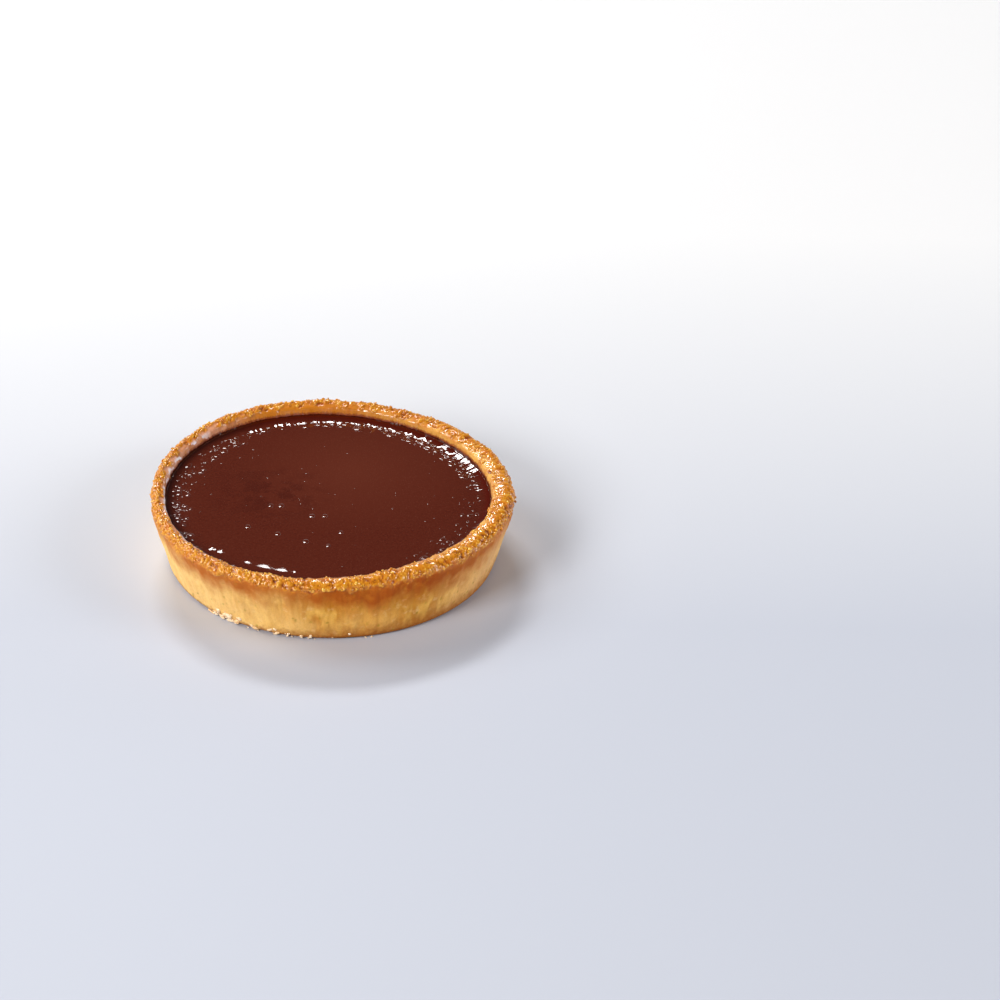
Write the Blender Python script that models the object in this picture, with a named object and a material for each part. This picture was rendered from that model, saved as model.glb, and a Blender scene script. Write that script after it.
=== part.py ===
"""An individual chocolate tart: a shortcrust case with a rough baked rim, filled to
just under the rim with set chocolate. The origin is the centre of the underside."""

from math import atan2, cos, hypot, pi, radians, sin, tan

import bmesh
import bpy
from mathutils import Vector, noise

MM = 0.001

# Driving dimensions, in millimetres.
TART_DIAMETER = 85.6  # across the rim's outer corners, before they are rounded
RIM_HEIGHT = 17.3  # top of the rim over the underside
BASE_DIAMETER = 76.8  # underside, at the bottom corner of the flared wall
BOTTOM_EDGE_RADIUS = 1.6
RIM_WIDTH = 4.3  # across the rim's top
RIM_SHOULDER = 1.1  # how far the rim's top falls to its outer edge
RIM_LIP = 0.7  # how far it falls to its inner edge
RIM_ROUNDING = 1.7
CRUST_FLOOR = 4.9  # thickness of the bottom crust
POCKET_DRAFT = 9.0  # degrees that the pocket's wall leans outwards
POCKET_CORNER_RADIUS = 6.0
CHOCOLATE_LEVEL = 14.4
MENISCUS_HEIGHT = 0.65  # the chocolate climbs the crust at its edge
MENISCUS_WIDTH = 2.6
CLEARANCE = 0.3  # between the chocolate and the crust

# The case is lined by hand, so it is a little three-lobed and its rim is uneven.
LOBES = 3
RIM_LOBE = 0.75  # depth at the rim, fading to none at the underside
BASE_OFFSET = Vector((0.5, -0.2))  # the underside's centre beside the rim's
POCKET_OFFSET = Vector((-0.9, 0.15))  # the pocket's centre beside the rim's
RIM_LUMP = 0.38  # height of the rim's lumps
LUMP_SIZE = 4.5
WALL_WAVE = 0.22  # depth of the upright folds in the outer wall
WALL_FOLDS = 23

SEGMENTS = 120  # round the tart
FILLET_STEPS = 4
FLOOR_SPANS = 3  # between the centre and a flat face's edge
WALL_SPANS = 4  # between the underside and the rim


def fillet(before, corner, after, radius):
    """Points of the arc that rounds a corner of a profile."""
    to_before = (before - corner).normalized()
    to_after = (after - corner).normalized()
    half = to_before.angle(to_after) / 2
    centre = corner + (to_before + to_after).normalized() * radius / sin(half)
    start = corner + to_before * radius / tan(half) - centre
    end = corner + to_after * radius / tan(half) - centre
    sweep = start.angle_signed(end)
    points = []
    for step in range(FILLET_STEPS + 1):
        turn = -sweep * step / FILLET_STEPS
        x = start.x * cos(turn) - start.y * sin(turn)
        y = start.x * sin(turn) + start.y * cos(turn)
        points.append(centre + Vector((x, y)))
    return points


def rounded_profile(corners):
    """The outline through (radius, height, rounding) corners, from axis to axis."""
    points = []
    for index, (r, z, rounding) in enumerate(corners):
        corner = Vector((r, z))
        if rounding == 0:
            points.append(corner)
            continue
        before = Vector(corners[index - 1][:2])
        after = Vector(corners[index + 1][:2])
        points.extend(fillet(before, corner, after, rounding))
    return points


def with_rings(points):
    """Adds rings across the flat faces at both ends, so their triangles stay even."""
    first, second = points[0], points[1]
    last_but_one, last = points[-2], points[-1]
    inner = [first.lerp(second, i / FLOOR_SPANS) for i in range(1, FLOOR_SPANS)]
    outer = [last_but_one.lerp(last, i / FLOOR_SPANS) for i in range(1, FLOOR_SPANS)]
    return [first, *inner, *points[1:-1], *outer, last]


def pocket_radius(z):
    """Radius of the pocket's wall at a height."""
    lip = TART_DIAMETER / 2 - RIM_WIDTH
    return lip - (RIM_HEIGHT - RIM_LIP - z) * tan(radians(POCKET_DRAFT))


def crust_profile():
    rim = TART_DIAMETER / 2
    bottom = Vector((BASE_DIAMETER / 2, 0))
    shoulder = Vector((rim, RIM_HEIGHT - RIM_SHOULDER))
    wall = [bottom.lerp(shoulder, i / WALL_SPANS) for i in range(1, WALL_SPANS)]
    return rounded_profile(
        [
            (0, 0, 0),
            (*bottom, BOTTOM_EDGE_RADIUS),
            *((*point, 0) for point in wall),
            (*shoulder, RIM_ROUNDING),
            (rim - RIM_WIDTH / 2, RIM_HEIGHT, RIM_ROUNDING),
            (rim - RIM_WIDTH, RIM_HEIGHT - RIM_LIP, RIM_ROUNDING / 2),
            (pocket_radius(CRUST_FLOOR), CRUST_FLOOR, POCKET_CORNER_RADIUS),
            (0, CRUST_FLOOR, 0),
        ]
    )


def filling_profile():
    floor = CRUST_FLOOR + CLEARANCE
    gap = CLEARANCE / cos(radians(POCKET_DRAFT))
    brim = CHOCOLATE_LEVEL + MENISCUS_HEIGHT
    edge = pocket_radius(brim) - gap
    return rounded_profile(
        [
            (0, floor, 0),
            (pocket_radius(floor) - gap, floor, POCKET_CORNER_RADIUS - CLEARANCE),
            (edge, brim, 0),
            (edge - MENISCUS_WIDTH, CHOCOLATE_LEVEL, MENISCUS_WIDTH),
            (0, CHOCOLATE_LEVEL, 0),
        ]
    )


def turned(points):
    """A closed mesh made by spinning a profile round the Z axis."""
    bm = bmesh.new()
    verts = [bm.verts.new((p.x, 0, p.y)) for p in points]
    edges = [bm.edges.new(pair) for pair in zip(verts, verts[1:])]
    bmesh.ops.spin(
        bm,
        geom=verts + edges,
        cent=(0, 0, 0),
        axis=(0, 0, 1),
        angle=2 * pi,
        steps=SEGMENTS,
        use_merge=True,
    )
    bmesh.ops.remove_doubles(bm, verts=bm.verts, dist=0.001)
    bmesh.ops.recalc_face_normals(bm, faces=bm.faces)
    return bm


def share_above(z, low, high):
    """0 below low and 1 above high, with a smooth step between."""
    t = min(max((z - low) / (high - low), 0), 1)
    return t * t * (3 - 2 * t)


def lobed(bm):
    """Pushes a turned mesh out of round at the rim, and its underside to one side."""
    for vert in bm.verts:
        radius = hypot(vert.co.x, vert.co.y)
        angle = atan2(vert.co.y, vert.co.x)
        up = vert.co.z / RIM_HEIGHT
        push = RIM_LOBE * up * cos(LOBES * angle) * radius / (TART_DIAMETER / 2)
        vert.co.x += push * cos(angle) + BASE_OFFSET.x * (1 - up)
        vert.co.y += push * sin(angle) + BASE_OFFSET.y * (1 - up)


def inside_pocket(radius, z):
    """1 on the pocket's faces and the chocolate, 0 on the outer wall."""
    if z < CRUST_FLOOR - CLEARANCE:
        return 0
    wall_middle = pocket_radius(z) + RIM_WIDTH / 2
    return 1 - share_above(radius, wall_middle - 1.5, wall_middle + 1.5)


def set_off_centre(bm):
    """Moves the pocket to one side, so the rim is wider on the other."""
    for vert in bm.verts:
        inside = inside_pocket(hypot(vert.co.x, vert.co.y), vert.co.z)
        vert.co.x += POCKET_OFFSET.x * inside
        vert.co.y += POCKET_OFFSET.y * inside


def rough_rim(bm):
    """Lumps on the rim and faint upright folds down the outer wall."""
    for vert in bm.verts:
        co = vert.co
        radius = hypot(co.x, co.y)
        angle = atan2(co.y, co.x)
        outward = Vector((cos(angle), sin(angle), 0))
        on_rim = share_above(co.z, CHOCOLATE_LEVEL + MENISCUS_HEIGHT, RIM_HEIGHT)
        lump = noise.noise(co / LUMP_SIZE) * RIM_LUMP * on_rim
        outside = 1 - inside_pocket(radius, co.z)
        wall = share_above(co.z, 0.5, 4) * outside * (1 - on_rim)
        fold = cos(WALL_FOLDS * angle + 2 * sin(2 * angle)) * WALL_WAVE * wall
        vert.co = co + Vector((0, 0, 1.4 * lump)) + outward * (lump + fold)


def principled(name, colour, roughness):
    material = bpy.data.materials.new(name)
    material.use_nodes = True
    shader = material.node_tree.nodes["Principled BSDF"]
    shader.inputs["Base Color"].default_value = (*colour, 1)
    shader.inputs["Roughness"].default_value = roughness
    shader.inputs["Metallic"].default_value = 0
    return material


def add_piece(name, bm, material):
    bmesh.ops.scale(bm, vec=(MM, MM, MM), verts=bm.verts)
    mesh = bpy.data.meshes.new(name)
    bm.to_mesh(mesh)
    bm.free()
    mesh.materials.append(material)
    mesh.shade_smooth()
    mesh.set_sharp_from_angle(angle=radians(40))
    piece = bpy.data.objects.new(name, mesh)
    bpy.context.scene.collection.objects.link(piece)
    return piece


def make_crust():
    bm = turned(with_rings(crust_profile()))
    rough_rim(bm)
    lobed(bm)
    set_off_centre(bm)
    return add_piece("crust", bm, principled("baked_crust", (0.55, 0.24, 0.05), 0.55))


def make_filling():
    bm = turned(with_rings(filling_profile()))
    lobed(bm)
    set_off_centre(bm)
    return add_piece("filling", bm, principled("chocolate", (0.09, 0.022, 0.011), 0.2))


def stand_on_origin(crust, filling):
    """Puts the middle of the crust's box over the origin, with the underside on it."""
    for axis in (0, 1):
        places = [vert.co[axis] for vert in crust.data.vertices]
        middle = (min(places) + max(places)) / 2
        for piece in (crust, filling):
            for vert in piece.data.vertices:
                vert.co[axis] -= middle


def main():
    for obj in list(bpy.data.objects):
        bpy.data.objects.remove(obj)
    stand_on_origin(make_crust(), make_filling())


main()
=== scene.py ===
import random
from math import atan2, cos, degrees, exp, hypot, pi, radians, sin, tan

import bmesh
import bpy
from mathutils import Matrix, Vector, noise


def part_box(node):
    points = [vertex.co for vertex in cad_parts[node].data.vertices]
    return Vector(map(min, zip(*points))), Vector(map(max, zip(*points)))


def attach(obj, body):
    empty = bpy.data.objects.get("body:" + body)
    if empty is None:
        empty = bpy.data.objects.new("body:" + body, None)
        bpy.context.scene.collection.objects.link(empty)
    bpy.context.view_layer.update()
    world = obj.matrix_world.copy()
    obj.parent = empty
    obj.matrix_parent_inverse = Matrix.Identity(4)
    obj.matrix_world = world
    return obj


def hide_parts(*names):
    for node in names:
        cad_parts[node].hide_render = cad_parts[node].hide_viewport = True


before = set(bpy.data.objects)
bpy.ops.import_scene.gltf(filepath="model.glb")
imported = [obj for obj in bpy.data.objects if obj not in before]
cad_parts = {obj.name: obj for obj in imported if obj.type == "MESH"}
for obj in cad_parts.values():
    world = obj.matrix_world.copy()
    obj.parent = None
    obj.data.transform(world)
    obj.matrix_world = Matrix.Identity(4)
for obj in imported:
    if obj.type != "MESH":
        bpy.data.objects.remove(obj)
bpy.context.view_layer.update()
crustLow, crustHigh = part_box("crust")
fillingLow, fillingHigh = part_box("filling")
mm = 0.001  # shapes are worked out in millimetres, and newPiece scales them


def softStep(value, low, high):
    t = min(max((value - low) / (high - low), 0), 1)
    return t * t * (3 - 2 * t)


def bumps(heightAndSize, point, shift=(0, 0, 0)):
    # soft noise of that height and size
    height, size = heightAndSize
    return noise.noise(point / size + Vector(shift)) * height


def domes(heightAndSize, point):
    # rounded grains of that height and size, packed side by side
    height, size = heightAndSize
    return (0.5 - noise.voronoi(point / size)[0][0]) * height


def fillet(before, corner, after, radius, steps):
    # the arc that rounds one corner of an outline
    toBefore = (before - corner).normalized()
    toAfter = (after - corner).normalized()
    half = toBefore.angle(toAfter) / 2
    centre = corner + (toBefore + toAfter).normalized() * radius / sin(half)
    start = corner + toBefore * radius / tan(half) - centre
    end = corner + toAfter * radius / tan(half) - centre
    sweep = start.angle_signed(end)
    points = []
    for step in range(steps + 1):
        turn = -sweep * step / steps
        points.append(centre + Vector((start.x * cos(turn) - start.y * sin(turn),
                                       start.x * sin(turn) + start.y * cos(turn))))
    return points


def roundedOutline(corners, steps=4):
    # corners are (radius, height, rounding) from the axis out and back to the axis
    points = []
    for index, (r, z, rounding) in enumerate(corners):
        corner = Vector((r, z))
        if rounding == 0:
            points.append(corner)
            continue
        before = Vector(corners[index - 1][:2])
        after = Vector(corners[index + 1][:2])
        points.extend(fillet(before, corner, after, rounding, steps))
    return points


def evenRows(points, spacingAt):
    # splits the outline so that no stretch is longer than the spacing wanted there
    rows = [points[0]]
    for before, after in zip(points, points[1:]):
        spans = max(1, round((after - before).length / spacingAt((before + after) / 2)))
        rows.extend(before.lerp(after, i / spans) for i in range(1, spans + 1))
    return rows


def turned(outline, segments):
    # one wedge is spun, then doubled until it goes all the way round
    wedges = 16
    bm = bmesh.new()
    verts = [bm.verts.new((p.x, 0, p.y)) for p in outline]
    edges = [bm.edges.new(pair) for pair in zip(verts, verts[1:])]
    bmesh.ops.spin(bm, geom=verts + edges, cent=(0, 0, 0), axis=(0, 0, 1),
                   angle=2 * pi / wedges, steps=segments // wedges)
    while wedges > 1:
        copied = bmesh.ops.duplicate(bm, geom=bm.verts[:] + bm.edges[:] + bm.faces[:])["geom"]
        bmesh.ops.rotate(bm, verts=[part for part in copied if isinstance(part, bmesh.types.BMVert)],
                         cent=(0, 0, 0), matrix=Matrix.Rotation(2 * pi / wedges, 3, "Z"))
        wedges //= 2
    bmesh.ops.remove_doubles(bm, verts=bm.verts, dist=0.002)
    bmesh.ops.recalc_face_normals(bm, faces=bm.faces)
    return bm


def scatteredBalls(count, around=8, rings=5):
    # one mesh of many small balls, the points of each ball, and a layer for a tone of its own
    small = bmesh.new()
    bmesh.ops.create_uvsphere(small, u_segments=around, v_segments=rings, radius=1)
    ball = bpy.data.meshes.new("ball")
    small.to_mesh(ball)
    small.free()
    bm = bmesh.new()
    layer = bm.verts.layers.float.new("crest")
    for _ in range(count):
        bm.from_mesh(ball)
    verts, each = list(bm.verts), len(ball.vertices)
    bpy.data.meshes.remove(ball)
    return bm, [verts[i * each:(i + 1) * each] for i in range(count)], layer


def newPiece(name, bm, material, nodeReplaced):
    bmesh.ops.scale(bm, vec=(mm, mm, mm), verts=bm.verts)
    mesh = bpy.data.meshes.new(name)
    bm.to_mesh(mesh)
    bm.free()
    mesh.materials.append(material)
    mesh.shade_smooth()
    piece = bpy.data.objects.new(name, mesh)
    bpy.context.scene.collection.objects.link(piece)
    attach(piece, "root")
    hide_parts(nodeReplaced)
    print(name, len(mesh.polygons), "faces")
    return piece


def newMaterial(name):
    material = bpy.data.materials.new(name)
    material.use_nodes = True
    return material, material.node_tree, material.node_tree.nodes["Principled BSDF"]


def node(tree, kind, inputs=None, **settings):
    made = tree.nodes.new("ShaderNode" + kind)
    for key, value in settings.items():
        setattr(made, key, value)
    for key, value in (inputs or {}).items():
        if isinstance(value, bpy.types.NodeSocket):
            tree.links.new(value, made.inputs[key])
        else:
            made.inputs[key].default_value = value
    return made


def maths(tree, operation, a, b=0.0, clamp=False):
    return node(tree, "Math", {0: a, 1: b}, operation=operation, use_clamp=clamp).outputs[0]


def mixColour(tree, factor, a, b):
    inputs = {0: factor, 6: a if isinstance(a, bpy.types.NodeSocket) else (*a, 1),
              7: b if isinstance(b, bpy.types.NodeSocket) else (*b, 1)}
    return node(tree, "Mix", inputs, data_type="RGBA").outputs[2]


def remap(tree, value, low, high, toLow=0.0, toHigh=1.0):
    return node(tree, "MapRange", {0: value, 1: low, 2: high, 3: toLow, 4: toHigh}).outputs[0]


def stretched(tree, coords, scale):
    return node(tree, "Mapping", {"Vector": coords, "Scale": scale}).outputs[0]


def noiseAt(tree, coords, scale, detail=3.0, roughness=0.5):
    inputs = {"Vector": coords, "Scale": scale, "Detail": detail, "Roughness": roughness}
    return node(tree, "TexNoise", inputs).outputs[0]


def attribute(tree, name):
    return node(tree, "Attribute", attribute_name=name).outputs["Fac"]


def addBump(tree, shader, height, strength, distance=0.0003):
    bump = node(tree, "Bump", {"Height": height, "Strength": strength, "Distance": distance})
    tree.links.new(bump.outputs[0], shader.inputs["Normal"])


view = {
    "lens": 192.8,
    "pitch": 31.26,  # degrees below the horizon
    "roll": 0.9,
    "place": (0.0392, -1.0741, 0.6669),
}


def addCamera():
    data = bpy.data.cameras.new("camera")
    data.lens = view["lens"]
    camera = bpy.data.objects.new("camera", data)
    camera.matrix_world = (Matrix.Translation(view["place"])
                           @ Matrix.Rotation(radians(90 - view["pitch"]), 4, "X")
                           @ Matrix.Rotation(radians(view["roll"]), 4, "Z"))
    bpy.context.scene.collection.objects.link(camera)
    bpy.context.scene.camera = camera
    print("camera ready")


addCamera()

# the case and its pocket in millimetres, fitted to the boxes of the two nodes
tart = {
    "rimRadius": (crustHigh.y - crustLow.y) / 2 / mm + 0.1,
    "rimTop": crustHigh.z / mm - 0.2,  # its grains stand proud of this
    "rimWidth": 4.3,
    "rimRounding": 1.7,
    "shoulder": 1.1,  # how far the rim's outer edge is under its top
    "lip": 0.7,  # and its inner edge
    "baseRadius": 38.4,
    "bottomEdge": 1.6,
    "floor": fillingLow.z / mm - 0.3,
    "floorGap": 0.3,  # between the pocket's floor and the chocolate
    "draft": 9.0,  # degrees that the pocket's wall leans out
    "pocketCorner": 6.0,
    "brim": fillingHigh.z / mm,  # where the chocolate meets the crust
    "level": fillingHigh.z / mm - 0.92,  # the chocolate's flat top
    "rimLobe": 0.75,  # how far the rim is out of round, in three lobes
    "pocketLobe": 0.17,  # the pocket's share of that
    "baseX": 0.5,  # how far the base and the pocket sit to one side
    "baseY": -0.2,
    "pocketX": (fillingLow.x + fillingHigh.x) / 2 / mm,
    "pocketY": (fillingLow.y + fillingHigh.y) / 2 / mm,
    "blendFrom": 0.65,  # where the pocket's shift starts to fade, outwards from its wall
    "blendTo": 3.05,
}


def pocketRadius(z):
    lip = tart["rimRadius"] - tart["rimWidth"]
    return lip - (tart["rimTop"] - tart["lip"] - z) * tan(radians(tart["draft"]))


def insidePocket(radius, z):
    # 1 in the pocket and on its wall, 0 on the outside of the case
    if z < tart["floor"] - tart["floorGap"]:
        return 0
    wall = pocketRadius(z)
    return 1 - softStep(radius, wall + tart["blendFrom"], wall + tart["blendTo"])


def handFormed(co):
    # the case is a little three-lobed, and its base and its pocket sit to one side
    radius, angle = hypot(co.x, co.y), atan2(co.y, co.x)
    up = co.z / tart["rimTop"]
    push = tart["rimLobe"] * up * cos(3 * angle) * radius / tart["rimRadius"]
    inside = insidePocket(radius, co.z)
    pocketX = tart["pocketX"] + tart["rimLobe"] * tart["pocketLobe"]
    x = push * cos(angle) - tart["rimLobe"] + tart["baseX"] * (1 - up) + pocketX * inside
    y = push * sin(angle) + tart["baseY"] * (1 - up) + tart["pocketY"] * inside
    return co + Vector((x, y, 0))


crustLook = {
    "segments": 1088,
    "rimRow": 0.25, "wallRow": 0.45, "hiddenRow": 9.0,  # spacing of the rows of points
    "rimRowsTo": 0.6, "reliefTo": 0.5,  # how far under the chocolate's top the inner wall is still detailed
    "outerWall": 1.5,  # the outer wall is at least this far out from the pocket's
    # the granular rim: height and size of each kind of relief
    "lump": (0.4, 4.5), "knob": (0.5, 1.1), "nub": (0.4, 0.55), "grain": (0.34, 0.3),
    "hollow": (0.9, 1.6), "hollowFrom": 0.22,
    "knobPatch": (1.0, 2.1), "knobLeast": 0.75,  # knobs are taller in patches
    "proud": 0.12,
    "crestHeight": 0.75,  # grains this high count as a full crest
    # where the rim's grain begins and is full, under its top, outside and inside, and how that line strays
    "outerFrom": 2.6, "outerFull": 1.5, "innerFrom": 0.75, "innerFull": 0.35,
    "stray": (0.9, 2.4), "fray": (0.5, 0.9),
    # the outer wall: upright ridges and streaks, dents and pores
    "ridge": (0.45, 2.6), "ridgeLong": 26, "streak": (0.1, 0.8), "streakLong": 6, "dent": (0.35, 7),
    "wallGrain": 0.25, "plainFoot": 0.3, "fullRelief": 4,
    "poreDepth": 0.1, "poreSpacing": 2.3, "poreSize": 0.19, "poresTo": 5, "fewFrom": 11, "fewPores": 0.35,
    # the smooth inner wall
    "swell": (0.2, 2.5), "ripple": (0.12, 0.8), "liningGrain": 0.15,
    # colours of the rim's glaze, from its hollows to its crests, and of its darker clouds
    "rimDeep": (0.25, 0.046, 0.001), "rimAmber": (0.62, 0.22, 0.004), "rimCrest": (0.82, 0.44, 0.05),
    "rimCloud": (0.56, 0.13, 0.002),
    # colours of the outer wall; three of them are painted light, paling it low down, on the left and at the
    # right edge
    "wallStreak": (0.52, 0.185, 0.008), "wallGold": (0.84, 0.45, 0.08), "wallCloud": (0.66, 0.26, 0.02),
    "wallPaintedLightLow": (0.92, 0.57, 0.175), "wallPaintedLightLeft": (0.98, 0.66, 0.26), "wallPaintedLightRight": (0.98, 0.68, 0.36),
    "wallFibre": (0.62, 0.24, 0.014), "wallBlot": (0.95, 0.66, 0.30), "pore": (0.36, 0.22, 0.014),
    # the browned band under the rim and the toasted line at the foot: colours, with painted light on the
    # band's far right, and heights in metres
    "band": (0.43, 0.085, 0.001), "bandRight": (0.36, 0.070, 0.006), "bandPaintedLightRight": (0.62, 0.22, 0.05),
    "bandBlot": (0.58, 0.17, 0.006), "bandFrom": 0.0086, "bandFull": 0.0148,
    "toasted": (0.34, 0.095, 0.009), "toastedTo": 0.0020, "toastedFull": 0.0004,
    # colours of the inner wall
    # the pinkish left lining colour is partly the lining's own tone and partly painted sheen
    "lining": (0.56, 0.18, 0.009), "liningLeftPinkAndSheen": (0.66, 0.30, 0.17), "liningRight": (0.80, 0.42, 0.09),
    # the near-white lavender colour here is a painted highlight of wet glaze, used at the left
    "liningPatch": (0.60, 0.19, 0.02), "paintedWetGlint": (0.98, 0.90, 0.94), "darkerAtChocolate": (0.22, 0.035, 0.008),
    "fleck": (0.34, 0.11, 0.015),
    # scales of the noises in them
    "rimClouds": 420, "wallStreaks": 330, "wallFibres": 800, "wallClouds": 140, "wallBlots": 480,
    "footNoise": 900, "liningPatches": 350, "fineNoise": 2600,
    # how far the browned band reaches down with the clouds, the streaks and the right side, in metres
    "bandClouds": 0.0030, "bandStreaks": 0.0018, "bandLower": 0.0012,
    "rimCoat": 0.85, "coatRoughness": 0.06, "specular": 0.12,
}


def crustOutline():
    rim, top = tart["rimRadius"], tart["rimTop"]
    corners = [
        (0, 0, 0),
        (tart["baseRadius"], 0, tart["bottomEdge"]),
        (rim, top - tart["shoulder"], tart["rimRounding"]),
        (rim - tart["rimWidth"] / 2, top, tart["rimRounding"]),
        (rim - tart["rimWidth"], top - tart["lip"], tart["rimRounding"] / 2),
        (pocketRadius(tart["floor"]), tart["floor"], tart["pocketCorner"]),
        (0, tart["floor"], 0),
    ]

    def spacing(point):
        look = crustLook
        underside = point.y < 0.05
        if point.y > tart["level"] - look["rimRowsTo"]:
            return look["rimRow"]
        if point.x > pocketRadius(point.y) + look["outerWall"] and not underside:
            return look["wallRow"]
        return look["hiddenRow"]

    return evenRows(roundedOutline(corners), spacing)


def rimShareAt(co, inside):
    # 1 on the granular rim, 0 on the walls, with a ragged line between
    look, top = crustLook, tart["rimTop"]
    height = co.z + (bumps(look["stray"], co) + bumps(look["fray"], co))
    outer = softStep(height, top - look["outerFrom"], top - look["outerFull"])
    inner = softStep(height, top - look["innerFrom"], top - look["innerFull"])
    return outer * (1 - inside) + inner * inside


def poreAt(co, inside):
    look = crustLook
    low = 1 - softStep(co.z, look["poresTo"], look["fewFrom"])
    near = noise.voronoi(co / look["poreSpacing"])[0][0]
    depth = 1 - softStep(near, 0.4 * look["poreSize"], look["poreSize"])
    return depth * (look["fewPores"] + (1 - look["fewPores"]) * low) * (1 - inside)


def crustRelief(co, inside):
    # how far the baked surface stands off the plain form, how granular it is, its crests and its pores
    look = crustLook
    rim = rimShareAt(co, inside)
    knob = domes(look["knob"], co) * (look["knobLeast"] + bumps(look["knobPatch"], co))
    nub, grain = domes(look["nub"], co), bumps(look["grain"], co)
    hollowDepth, hollowSize = look["hollow"]
    hollow = -hollowDepth * max(noise.noise(co / hollowSize + Vector((5, 3, 1))) - look["hollowFrom"], 0)
    rough = bumps(look["lump"], co) + knob + nub + grain + hollow + look["proud"]
    crest = (knob + nub + hollow + grain) / look["crestHeight"]

    angle = atan2(co.y, co.x)
    around = Vector((cos(angle), sin(angle), 0)) * tart["rimRadius"]
    wall = bumps(look["ridge"], around, (0, 0, co.z / look["ridgeLong"]))
    wall += bumps(look["streak"], around, (0, 0, co.z / look["streakLong"]))
    wall += bumps(look["dent"], co) + grain * look["wallGrain"]
    pore = poreAt(co, inside)
    wall = wall * softStep(co.z, look["plainFoot"], look["fullRelief"]) - pore * look["poreDepth"]
    smooth = bumps(look["swell"], co) + bumps(look["ripple"], co) + grain * look["liningGrain"]
    plain = wall * (1 - inside) + smooth * inside
    return rough * rim + plain * (1 - rim), rim, crest, pore * (1 - rim)


def makeCrust(material):
    bm = turned(crustOutline(), crustLook["segments"])
    layers = [bm.verts.layers.float.new(name) for name in ("rimShare", "crest", "pore", "inside")]
    bm.normal_update()
    for vert in bm.verts:
        inside = insidePocket(hypot(vert.co.x, vert.co.y), vert.co.z)
        underside = vert.co.z < 0.02
        hidden = underside or (inside > 0.5 and vert.co.z < tart["level"] - crustLook["reliefTo"])
        out, rim, crest, pore = (0, 0, 0, 0) if hidden else crustRelief(vert.co, inside)
        for layer, value in zip(layers, (rim, crest, pore, inside)):
            vert[layer] = value
        moved = vert.co + vert.normal * out
        moved.z = max(moved.z, 0)
        vert.co = handFormed(moved)
    return newPiece("crustShell", bm, material, "crust")


def rimTone(tree, coords, crest):
    # amber glaze over baked crumb: deep in the hollows, pale on the crests
    look = crustLook
    clouds = noiseAt(tree, coords, look["rimClouds"])
    tone = mixColour(tree, remap(tree, crest, -0.5, -0.02), look["rimDeep"], look["rimAmber"])
    tone = mixColour(tree, remap(tree, crest, 0.02, 0.4), tone, look["rimCrest"])
    return mixColour(tree, remap(tree, clouds, 0.48, 0.7, 0, 0.7), tone, look["rimCloud"])


def bandTone(tree, across, toRight, blots):
    look = crustLook
    tone = mixColour(tree, toRight, look["band"], look["bandRight"])
    # painted light: the band lighter at the far right edge
    tone = mixColour(tree, remap(tree, across, 0.024, 0.040, 0, 0.6), tone, look["bandPaintedLightRight"])
    return mixColour(tree, remap(tree, blots, 0.5, 0.7, 0, 0.45), tone, look["bandBlot"])


def toastedShare(tree, coords, across, height):
    # toasted where it stood in the tin, most at the front on the right
    fine = noiseAt(tree, coords, crustLook["footNoise"])
    foot = maths(tree, "ADD", height, remap(tree, fine, 0.3, 0.7, -0.0006, 0.0008))
    foot = maths(tree, "DIVIDE", foot, remap(tree, across, -0.016, 0.006, 1.0, 2.5))
    return remap(tree, foot, crustLook["toastedTo"], crustLook["toastedFull"])


def wallTone(tree, coords, height, pore):
    # pale gold in soft clouds and faint upright streaks, browned in a ragged band under the rim, with
    # painted light paling it low down, on the left and at the right edge, and lightening the band at the far
    # right
    look = crustLook
    across = node(tree, "SeparateXYZ", {0: coords}).outputs[0]
    streaks = noiseAt(tree, stretched(tree, coords, (1, 1, 0.2)), look["wallStreaks"])
    fibres = noiseAt(tree, stretched(tree, coords, (1, 1, 0.16)), look["wallFibres"], 3, 0.55)
    clouds = noiseAt(tree, coords, look["wallClouds"])
    blots = noiseAt(tree, coords, look["wallBlots"], 3, 0.6)
    toRight = remap(tree, across, -0.012, 0.022)
    tone = mixColour(tree, remap(tree, streaks, 0.43, 0.57), look["wallStreak"], look["wallGold"])
    tone = mixColour(tree, remap(tree, clouds, 0.44, 0.6, 0, 0.9), tone, look["wallCloud"])

    # painted light: paler low down, less so on the right
    low = remap(tree, height, 0.0110, 0.0015, 0, 0.7)
    low = maths(tree, "ADD", low, remap(tree, clouds, 0.3, 0.7, -0.35, 0.35))
    low = maths(tree, "MULTIPLY", low, remap(tree, toRight, 0, 1, 1, 0.5), clamp=True)
    tone = mixColour(tree, low, tone, look["wallPaintedLightLow"])
    # painted light: paler towards the left edge
    tone = mixColour(tree, remap(tree, across, 0.002, -0.030, 0, 0.75), tone, look["wallPaintedLightLeft"])
    tone = mixColour(tree, remap(tree, fibres, 0.42, 0.66, 0, 0.25), tone, look["wallFibre"])
    # painted light: paler at the right edge
    tone = mixColour(tree, remap(tree, across, 0.022, 0.040, 0, 0.55), tone, look["wallPaintedLightRight"])
    tone = mixColour(tree, remap(tree, blots, 0.58, 0.7, 0, 0.35), tone, look["wallBlot"])

    reach = remap(tree, clouds, 0.25, 0.75, -look["bandClouds"], look["bandClouds"])
    streaky = remap(tree, streaks, 0.2, 0.8, -look["bandStreaks"], look["bandStreaks"])
    ragged = maths(tree, "ADD", height, maths(tree, "ADD", reach, streaky))
    ragged = maths(tree, "ADD", ragged, maths(tree, "MULTIPLY", toRight, look["bandLower"]))
    band = remap(tree, ragged, look["bandFrom"], look["bandFull"])
    band = maths(tree, "MULTIPLY", band, remap(tree, toRight, 0, 1, 0.9, 1.0))
    tone = mixColour(tree, band, tone, bandTone(tree, across, toRight, blots))
    foot = toastedShare(tree, coords, across, height)
    tone = mixColour(tree, maths(tree, "MULTIPLY", foot, 0.9), tone, look["toasted"])
    return mixColour(tree, maths(tree, "MULTIPLY", pore, 0.7), tone, look["pore"])


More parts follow.
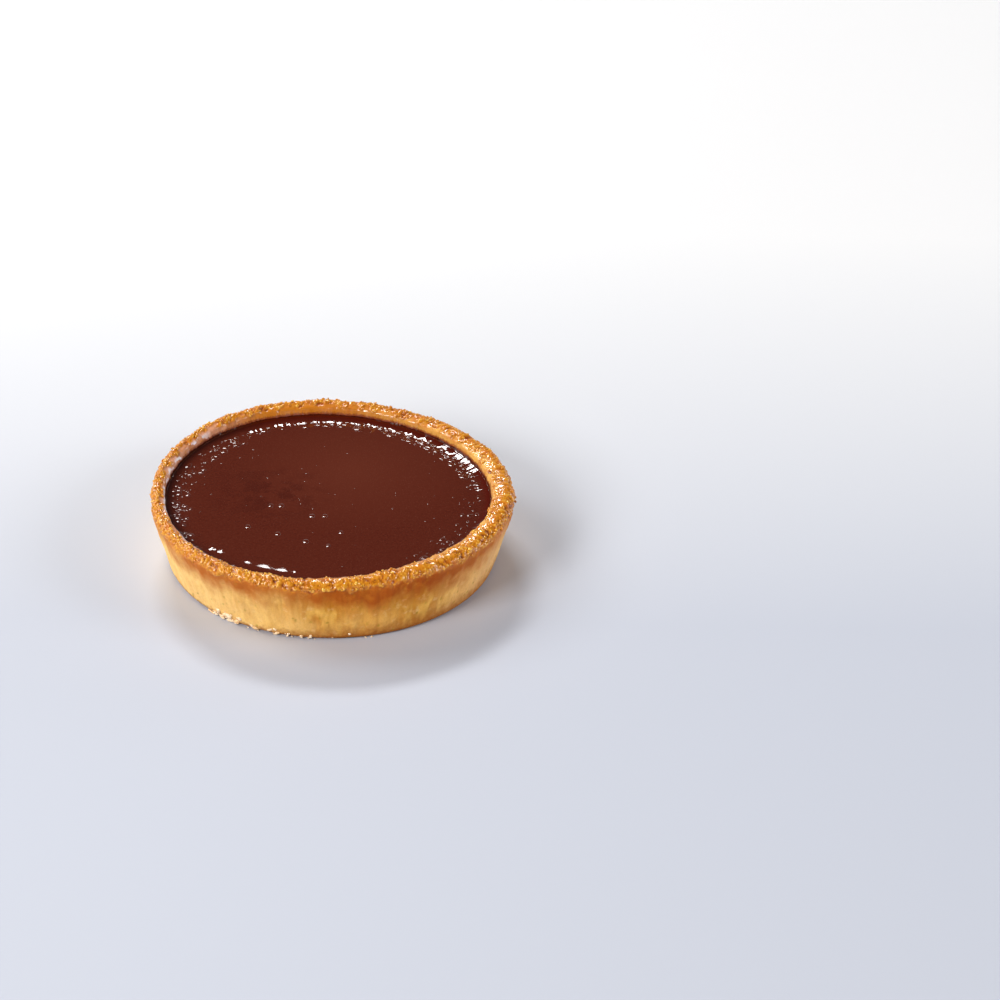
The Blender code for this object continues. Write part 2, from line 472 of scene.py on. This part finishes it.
def liningTone(tree, across, height, fine, patchy):
    # smooth inner wall over the chocolate, paler on the right and pinkish on the left, that pink partly
    # painted sheen, with painted highlights of wet glaze at the left, and darker just above where the
    # chocolate meets it
    look, brim = crustLook, tart["brim"] * mm
    # pinkish towards the left: partly the lining's own tone, partly painted sheen
    tone = mixColour(tree, remap(tree, across, -0.019, -0.031), look["lining"], look["liningLeftPinkAndSheen"])
    tone = mixColour(tree, remap(tree, across, 0.002, 0.032), tone, look["liningRight"])
    tone = mixColour(tree, remap(tree, patchy, 0.5, 0.66, 0, 0.8), tone, look["liningPatch"])
    # painted highlight: pale lavender glints of wet glaze on the upper lining at the left
    glintShare = maths(tree, "MULTIPLY", remap(tree, patchy, 0.49, 0.46), remap(tree, across, -0.0300, -0.0320))
    glintShare = maths(tree, "MULTIPLY", glintShare, remap(tree, height, 0.0168, 0.0163))
    tone = mixColour(tree, maths(tree, "MULTIPLY", glintShare, 0.95), tone, look["paintedWetGlint"])
    # darker just above where the chocolate meets the lining
    darkerAtChocolate = maths(tree, "SUBTRACT", height, remap(tree, fine, 0.3, 0.7, -0.0003, 0.0003))
    return mixColour(tree, remap(tree, darkerAtChocolate, brim + 0.0006, brim + 0.0001), tone, look["darkerAtChocolate"])


def crustMaterial():
    look = crustLook
    material, tree, shader = newMaterial("bakedCrust")
    coords = node(tree, "TexCoord").outputs["Object"]
    across, _, height = node(tree, "SeparateXYZ", {0: coords}).outputs
    rim, inside, crest, pore = (attribute(tree, n) for n in ("rimShare", "inside", "crest", "pore"))
    fine = noiseAt(tree, coords, look["fineNoise"], 4, 0.65)
    patchy = noiseAt(tree, coords, look["liningPatches"])
    bare = maths(tree, "MULTIPLY", inside, maths(tree, "SUBTRACT", 1.0, rim))
    colour = mixColour(tree, rim, wallTone(tree, coords, height, pore), rimTone(tree, coords, crest))
    colour = mixColour(tree, bare, colour, liningTone(tree, across, height, fine, patchy))
    colour = mixColour(tree, remap(tree, fine, 0.45, 0.75, 0, 0.22), colour, look["fleck"])
    tree.links.new(colour, shader.inputs["Base Color"])
    gloss = maths(tree, "MAXIMUM", rim, inside)
    tree.links.new(remap(tree, gloss, 0, 1, 0.7, 0.5), shader.inputs["Roughness"])
    wet = maths(tree, "MULTIPLY", bare, remap(tree, patchy, 0.4, 0.5, 0.2, 1.0))
    wet = maths(tree, "ADD", maths(tree, "MULTIPLY", rim, look["rimCoat"]), wet)
    tree.links.new(wet, shader.inputs["Coat Weight"])
    shader.inputs["Specular IOR Level"].default_value = look["specular"]
    shader.inputs["Coat Roughness"].default_value = look["coatRoughness"]
    shader.inputs["Subsurface Weight"].default_value = 0.08
    shader.inputs["Subsurface Radius"].default_value = (1.0, 0.5, 0.2)
    shader.inputs["Subsurface Scale"].default_value = 0.0008
    addBump(tree, shader, fine, remap(tree, rim, 0, 1, 0.25, 0.45))
    return material


crust = makeCrust(crustMaterial())

# crumbs stuck on the rim
crumbLook = {
    "seed": 4,
    "count": 1500,
    "small": 0.13, "large": 0.42, "mostlySmall": 2.5,  # the higher the last, the fewer are large
    "long": (0.8, 1.35), "wide": (0.7, 1.1), "flatness": 0.6,
    "raised": 0.15,
    "lumpy": 0.45, "lumpFineness": 1.3,
    "tone": (-0.2, 0.5),  # from the glaze's amber to its pale crests
    "onRim": 0.75,  # they sit where the rim is at least this granular
}


def makeCrumbs(material):
    look = crumbLook
    chance = random.Random(look["seed"])
    shares = crust.data.attributes["rimShare"].data
    spots = [v.index for v in crust.data.vertices if shares[v.index].value > look["onRim"]]
    bm, crumbs, crestLayer = scatteredBalls(look["count"])
    for spot, crumb in zip(chance.sample(spots, len(crumbs)), crumbs):
        anchor = crust.data.vertices[spot]
        size = look["small"] + (look["large"] - look["small"]) * chance.random() ** look["mostlySmall"]
        spin = Matrix.Rotation(chance.uniform(0, 2 * pi), 3, "Z")
        turn = anchor.normal.to_track_quat("Z", "Y").to_matrix() @ spin
        long, wide = chance.uniform(*look["long"]), chance.uniform(*look["wide"])
        stretch = Vector((long, wide, look["flatness"])) * size
        tone = chance.uniform(*look["tone"])
        place = anchor.co / mm + anchor.normal * size * look["raised"]
        for vert in crumb:
            lumpy = 1 + look["lumpy"] * noise.noise(vert.co * look["lumpFineness"] + place)
            vert.co = place + turn @ (vert.co * stretch * lumpy)
            vert[crestLayer] = tone
    return newPiece("rimCrumbs", bm, material, "crust")


def crumbMaterial():
    material, tree, shader = newMaterial("glazedCrumb")
    coords = node(tree, "TexCoord").outputs["Object"]
    tree.links.new(rimTone(tree, coords, attribute(tree, "crest")), shader.inputs["Base Color"])
    shader.inputs["Roughness"].default_value = 0.5
    shader.inputs["Coat Weight"].default_value = 1.0
    shader.inputs["Specular IOR Level"].default_value = crustLook["specular"]
    shader.inputs["Coat Roughness"].default_value = crustLook["coatRoughness"]
    addBump(tree, shader, noiseAt(tree, coords, crustLook["fineNoise"], 3, 0.6), 0.4)
    return material


makeCrumbs(crumbMaterial())

# beads of glaze that ran down and set at the foot
glazeLook = {
    "seed": 7,
    # angle round the tart from and to, how many, radius from and to
    "runs": ((224, 240, 34, 0.3, 1.0), (240, 262, 20, 0.2, 0.7), (262, 300, 8, 0.2, 0.4)),
    "highest": 2.4,
    "long": (0.8, 1.5), "tall": (0.5, 0.8), "flatness": 0.42,
    "tilt": 0.6,  # up to this many radians either way
    "lumpy": 0.5, "lumpFineness": 1.1,
    # the pale bead tone is partly the glaze's own colour and partly painted highlight of its wet glints
    "paleWithPaintedGlint": (0.94, 0.74, 0.50), "golden": (0.86, 0.52, 0.22),
}


def wallRadius(z):
    low, high = tart["baseRadius"], tart["rimRadius"]
    return low + (high - low) * z / (tart["rimTop"] - tart["shoulder"])


def makeGlaze(material):
    look = glazeLook
    chance = random.Random(look["seed"])
    bm, beads, _ = scatteredBalls(sum(run[2] for run in look["runs"]))
    places = [run for run in look["runs"] for _ in range(run[2])]
    for (start, end, _, small, large), bead in zip(places, beads):
        angle = radians(chance.uniform(start, end))
        size = small + (large - small) * chance.random() ** 2
        z = size * 0.5 + (look["highest"] - size * 0.5) * chance.random() ** 2
        out = Vector((cos(angle), sin(angle), 0))
        place = out * wallRadius(z) + Vector((0, 0, z))
        tilt = Matrix.Rotation(chance.uniform(-look["tilt"], look["tilt"]), 3, "Z")
        turn = out.to_track_quat("Z", "Y").to_matrix() @ tilt
        long, tall = chance.uniform(*look["long"]), chance.uniform(*look["tall"])
        stretch = Vector((long, tall, look["flatness"])) * size
        for vert in bead:
            lumpy = 1 + look["lumpy"] * noise.noise(vert.co * look["lumpFineness"] + place)
            moved = place + turn @ (vert.co * stretch * lumpy)
            moved.z = max(moved.z, 0.02)
            vert.co = handFormed(moved)
    return newPiece("footGlaze", bm, material, "crust")


def glazeMaterial():
    material, tree, shader = newMaterial("setGlaze")
    coords = node(tree, "TexCoord").outputs["Object"]
    clouds = remap(tree, noiseAt(tree, coords, 500), 0.4, 0.62)
    colour = mixColour(tree, clouds, glazeLook["paleWithPaintedGlint"], glazeLook["golden"])
    tree.links.new(colour, shader.inputs["Base Color"])
    shader.inputs["Roughness"].default_value = 0.22
    shader.inputs["Coat Weight"].default_value = 1.0
    shader.inputs["Coat Roughness"].default_value = 0.06
    addBump(tree, shader, noiseAt(tree, coords, 1800, 2), 0.2)
    return material


makeGlaze(glazeMaterial())

chocolateLook = {
    "segments": 960,
    "edgeRow": 0.25, "edgeWidth": 9, "middleRow": 1.0, "hiddenRow": 9.0,  # spacing of the rows of points
    "intoCrust": 0.25,  # the chocolate's edge reaches just into the crust
    "climb": 0.92,  # how high it climbs at the crust
    # how far from the crust the climb begins, at angles round the tart, and how that strays: height and size
    "climbFrom": ((-40, 4.0), (5, 4.3), (40, 3.2), (62, 3.2), (100, 3.6), (200, 4.0)),
    "straying": ((0.9, 3.3), (0.4, 1.2), (0.5, 9)),
    # wrinkles at the back and on the right: height, length, width, share of finer ones
    "dots": (0.26, 1.0, 0.8, 0.4),
    "dashes": (0.13, 1.5, 0.6, 0.3),
    "wrinklesBegin": (1.6, 2.6), "wrinklesEnd": (3.8, 6.0),  # distances from the crust
    # how strongly the skin is wrinkled, and how far its wrinkles are dashes, at angles round the tart
    "wrinkled": ((-40, 0.05), (-14, 0.35), (10, 0.7), (36, 0.62), (88, 0.75), (112, 0.4), (135, 0.12),
                 (230, 0.08)),
    "dashed": ((-60, 0.6), (0, 1.0), (45, 1.0), (75, 0.2), (90, 0.0), (230, 0.0)),
    "swell": (0.05, 14), "tremble": (0.006, 3.5),
    # low mounds in front on the left: place, half length, half width, height
    "mounds": ((-16.9, -26.9, 0.95, 0.6, 0.15), (-13.1, -28.3, 1.75, 0.7, 0.18),
               (-8.7, -30.0, 1.6, 0.66, 0.155), (-5.8, -31.2, 0.6, 0.55, 0.13),
               (-25.4, -21.8, 0.85, 0.8, 0.26), (-23.1, -22.7, 0.75, 0.6, 0.185),
               (-29.8, -17.7, 0.55, 0.55, 0.22)),
    "brown": (0.084, 0.0126, 0.0054), "grain": (0.074, 0.0098, 0.0039), "speck": (0.22, 0.08, 0.05),
    # painted sheen: a lighter patch back right of the middle, where the broad reflection of the lamps lies
    "paintedSheen": (0.104, 0.0188, 0.0088), "paintedSheenSpot": (4, 14, 30),  # the spots are place and reach
    "blotch": (0.058, 0.0072, 0.0032), "blotchSpot": (-15, 2, 16),
    # the thin reddish skin at the crust, turned to painted shade on the left where it lies against the dark
    # lining
    "film": (0.072, 0.0045, 0.0010), "filmPaintedShade": (0.030, 0.0035, 0.0016),  # the thin skin at the crust
    "filmFull": 0.6, "filmEnds": 3.0,
    "roughness": 0.05,
}


def chocolateEdge():
    return pocketRadius(tart["brim"]) + chocolateLook["intoCrust"]


def aroundTart(table, angle):
    # a value given at some angles round the tart, eased from one to the next
    angle = (angle - table[0][0]) % 360 + table[0][0]
    for (before, start), (after, end) in zip(table, table[1:] + ((table[0][0] + 360, table[0][1]),)):
        if angle <= after:
            return start + (end - start) * softStep(angle, before, after)


def mounds(x, y):
    height = 0.0
    for middleX, middleY, halfLength, halfWidth, tall in chocolateLook["mounds"]:
        away = Vector((x - middleX, y - middleY))
        if away.length > 4 * halfLength:
            continue
        outward = Vector((middleX, middleY)).normalized()
        across, along = away.dot(outward), away.dot(outward.orthogonal())
        spread = (across / halfWidth) ** 2 + (along / halfLength) ** 2
        height += tall * exp(-spread / 2)
    return height


def wrinkles(kind, around, fromCrust):
    height, long, wide, finer = chocolateLook[kind]
    spot = around / long + Vector((0, 0, fromCrust / wide))
    return (noise.noise(spot) + finer * noise.noise(spot * 2.1)) * height


def chocolateTop(x, y):
    # height of the set surface: flat, turning up at the crust, wrinkled here and there before the turn
    look = chocolateLook
    angle, fromCrust = atan2(y, x), chocolateEdge() - hypot(x, y)
    bearing = degrees(angle)
    around = Vector((cos(angle), sin(angle), 0)) * tart["rimRadius"]
    begins = aroundTart(look["climbFrom"], bearing) + sum(bumps(wave, around) for wave in look["straying"])
    climb = look["climb"] * max(1 - fromCrust / begins, 0) ** 2
    zone = softStep(fromCrust, *look["wrinklesBegin"]) * (1 - softStep(fromCrust, *look["wrinklesEnd"]))
    ripple = 0.0
    if zone > 0:
        dots, dashes = (wrinkles(kind, around, fromCrust) for kind in ("dots", "dashes"))
        ripple = dots + (dashes - dots) * aroundTart(look["dashed"], bearing)
        ripple *= zone * aroundTart(look["wrinkled"], bearing)
    spot = Vector((x, y, 0))
    swell = bumps(look["swell"], spot) + bumps(look["tremble"], spot, (9, 0, 0))
    return tart["level"] + climb + ripple + swell + mounds(x, y)


def chocolateOutline():
    edge, floor = chocolateEdge(), tart["floor"] + tart["floorGap"]
    corners = [
        (0, floor, 0),
        (pocketRadius(floor) - 0.1, floor, tart["pocketCorner"] - 0.2),
        (edge, tart["brim"], 0),
        (0, tart["brim"], 0),
    ]

    def spacing(point):
        look = chocolateLook
        if point.y < tart["brim"] - 0.01:
            return look["hiddenRow"]
        return look["edgeRow"] if point.x > edge - look["edgeWidth"] else look["middleRow"]

    return evenRows(roundedOutline(corners), spacing)


def makeChocolate(material):
    look = chocolateLook
    bm = turned(chocolateOutline(), look["segments"])
    filmLayer = bm.verts.layers.float.new("film")
    for vert in bm.verts:
        co = vert.co
        if co.z > tart["brim"] - 0.01:
            co.z = chocolateTop(co.x, co.y)
            fromCrust = chocolateEdge() - hypot(co.x, co.y)
            vert[filmLayer] = 1 - softStep(fromCrust, look["filmFull"], look["filmEnds"])
        vert.co = handFormed(co)
    return newPiece("chocolateFill", bm, material, "filling")


def nearSpot(tree, coords, x, y, reach):
    # 1 at a spot on the top, falling to 0 at that reach
    flat = stretched(tree, coords, (1, 1, 0))
    away = node(tree, "VectorMath", {0: flat, 1: (x * mm, y * mm, 0)}, operation="DISTANCE").outputs["Value"]
    return remap(tree, away, reach * mm, 0.0)


def chocolateMaterial(name):
    look = chocolateLook
    material, tree, shader = newMaterial(name)
    coords = node(tree, "TexCoord").outputs["Object"]
    across = node(tree, "SeparateXYZ", {0: coords}).outputs[0]
    mottle = noiseAt(tree, coords, 260, 5, 0.6)
    speck = noiseAt(tree, coords, 3600, 2)
    grain = noiseAt(tree, coords, 1500, 4, 0.6)
    colour = mixColour(tree, remap(tree, grain, 0.4, 0.65), look["brown"], look["grain"])
    # painted sheen: lighter brown round a spot back right of the middle
    colour = mixColour(tree, nearSpot(tree, coords, *look["paintedSheenSpot"]), colour, look["paintedSheen"])
    blotch = nearSpot(tree, coords, *look["blotchSpot"])
    blotch = maths(tree, "MULTIPLY", blotch, remap(tree, mottle, 0.46, 0.6))
    colour = mixColour(tree, blotch, colour, look["blotch"])
    colour = mixColour(tree, remap(tree, speck, 0.60, 0.72, 0, 0.3), colour, look["speck"])
    # the skin's own reddish colour, with painted shade towards the left
    film = mixColour(tree, remap(tree, across, -0.016, -0.027), look["film"], look["filmPaintedShade"])
    colour = mixColour(tree, attribute(tree, "film"), colour, film)
    tree.links.new(colour, shader.inputs["Base Color"])
    shader.inputs["Roughness"].default_value = look["roughness"]
    addBump(tree, shader, speck, 0.05, 0.00012)
    return material


makeChocolate(chocolateMaterial("setChocolate"))

# bubbles set in the chocolate's surface
bubbleLook = {
    "seed": 11,
    "rise": 0.17, "riseVaries": (0.75, 1.4),  # height over radius
    # angle round the tart from and to, distance from the crust from and to, how many, radius from and to
    "clusters": {
        "back": (62, 122, 2.4, 5.0, 50, 0.3, 0.9),
        "rightBack": (8, 62, 2.4, 5.4, 90, 0.3, 0.9),
        "leftBack": (128, 190, 2.0, 6.5, 95, 0.25, 0.85),
        "left": (186, 212, 2.0, 5.0, 22, 0.3, 0.85),
        "frontLeft": (205, 240, 2.4, 5.4, 8, 0.2, 0.5),
        "right": (-60, 12, 2.4, 6.5, 60, 0.2, 0.65),
        "middle": (0, 360, 7.0, 36.0, 60, 0.12, 0.3),
    },
    "nearCrust": 1.4, "mostlySmall": 2.5,  # the higher, the more lie near the crust and the more are small
    "longest": 1.7,  # length over width
    # a few large ones left of the middle and towards the front
    "large": ((-13, -3), (-10.5, -3), (-3, -7.3), (0, -7.3), (-17.7, -12.6),
              (-10.5, -15.4), (-4, -18.6), (4, -14.7), (1.2, -20.5)),
    "largeRadius": 0.85, "largeVaries": (0.8, 1.15),
}


def setBubble(bubble, x, y, long, wide, heading, rise):
    middle = Vector((x, y, chocolateTop(x, y)))
    turn = Matrix.Rotation(heading, 3, "Z")
    stretch = Vector((long, wide, min(long, wide) * rise))
    for vert in bubble:
        vert.co = handFormed(middle + turn @ (vert.co * stretch))


def makeBubbles(material):
    look = bubbleLook
    chance = random.Random(look["seed"])
    places = []
    for start, end, near, far, count, small, large in look["clusters"].values():
        for _ in range(count):
            angle = radians(chance.uniform(start, end))
            out = chocolateEdge() - near - (far - near) * chance.random() ** look["nearCrust"]
            radius = small + (large - small) * chance.random() ** look["mostlySmall"]
            rise = look["rise"] * chance.uniform(*look["riseVaries"])
            long = radius * chance.uniform(1, look["longest"])
            places.append((out * cos(angle), out * sin(angle), long, radius, angle + pi / 2, rise))
    for x, y in look["large"]:
        radius = look["largeRadius"] * chance.uniform(*look["largeVaries"])
        places.append((x, y, radius * 0.85, radius * 1.2, 0, look["rise"] * 0.9))
    bm, bubbles, _ = scatteredBalls(len(places), 10, 6)
    for place, bubble in zip(places, bubbles):
        setBubble(bubble, *place)
    return newPiece("surfaceBubbles", bm, material, "filling")


makeBubbles(chocolateMaterial("bubbleSkin"))

studio = {
    "floorSize": 8.0,
    # painted light and shade: the floor is darker and bluer in front and pales behind
    "floorNear": (0.49, 0.515, 0.59), "floorFar": (0.77, 0.77, 0.78),  # it pales from in front to behind
    "paleFrom": -0.03, "paleTo": 0.16,
    "horizon": 0.9, "overhead": 0.05,  # brightness of the surround, low down and above
    "horizonEnds": 10, "overheadStarts": 18,  # degrees up
    # degrees round from +X, degrees over the floor, distance, width, height, watts, colour
    "lamps": {
        "keyLeft": (160, 40, 1.6, 0.7, 0.7, 11, (1.0, 0.985, 0.96)),
        "lowRight": (36, 14, 1.7, 0.7, 0.35, 2.5, (0.97, 0.97, 1.0)),
        "stripBack": (105, 44, 1.6, 0.52, 0.2, 12, (1.0, 1.0, 1.0)),
        "softFront": (-134, 32, 1.7, 0.65, 0.6, 24, (1.0, 0.99, 0.97)),
        "fillRight": (-14, 28, 1.7, 0.8, 0.6, 13, (1.0, 0.99, 0.98)),
    },
}


def addFloor():
    bm = bmesh.new()
    bmesh.ops.create_grid(bm, x_segments=1, y_segments=1, size=studio["floorSize"] / 2)
    mesh = bpy.data.meshes.new("studioFloor")
    bm.to_mesh(mesh)
    bm.free()
    material, tree, shader = newMaterial("paleFloor")
    away = node(tree, "SeparateXYZ", {0: node(tree, "TexCoord").outputs["Object"]}).outputs[1]
    # painted light and shade running from in front to behind
    paintedFalloff = remap(tree, away, studio["paleFrom"], studio["paleTo"])
    colour = mixColour(tree, paintedFalloff, studio["floorNear"], studio["floorFar"])
    tree.links.new(colour, shader.inputs["Base Color"])
    shader.inputs["Roughness"].default_value = 0.6
    mesh.materials.append(material)
    floor = bpy.data.objects.new("studioFloor", mesh)
    bpy.context.scene.collection.objects.link(floor)


def addLamps():
    for name, (around, over, distance, width, height, watts, colour) in studio["lamps"].items():
        data = bpy.data.lights.new(name, "AREA")
        data.shape = "RECTANGLE"
        data.size, data.size_y = width, height
        data.energy = watts
        data.color = colour
        lamp = bpy.data.objects.new(name, data)
        flat = cos(radians(over))
        towards = Vector((flat * cos(radians(around)), flat * sin(radians(around)), sin(radians(over))))
        lamp.location = towards * distance
        lamp.rotation_mode = "QUATERNION"
        lamp.rotation_quaternion = towards.to_track_quat("Z", "Y")
        bpy.context.scene.collection.objects.link(lamp)


def addSurround():
    world = bpy.data.worlds.new("surround")
    world.use_nodes = True
    tree = world.node_tree
    up = node(tree, "SeparateXYZ", {0: node(tree, "TexCoord").outputs["Generated"]}).outputs[2]
    glow = remap(tree, up, sin(radians(studio["horizonEnds"])), sin(radians(studio["overheadStarts"])),
                 studio["horizon"], studio["overhead"])
    tree.nodes["Background"].inputs[0].default_value = (1, 1, 1, 1)
    tree.links.new(glow, tree.nodes["Background"].inputs[1])
    bpy.context.scene.world = world
    bpy.context.scene.view_settings.view_transform = "Standard"


addFloor()
addLamps()
addSurround()
print("studio ready")
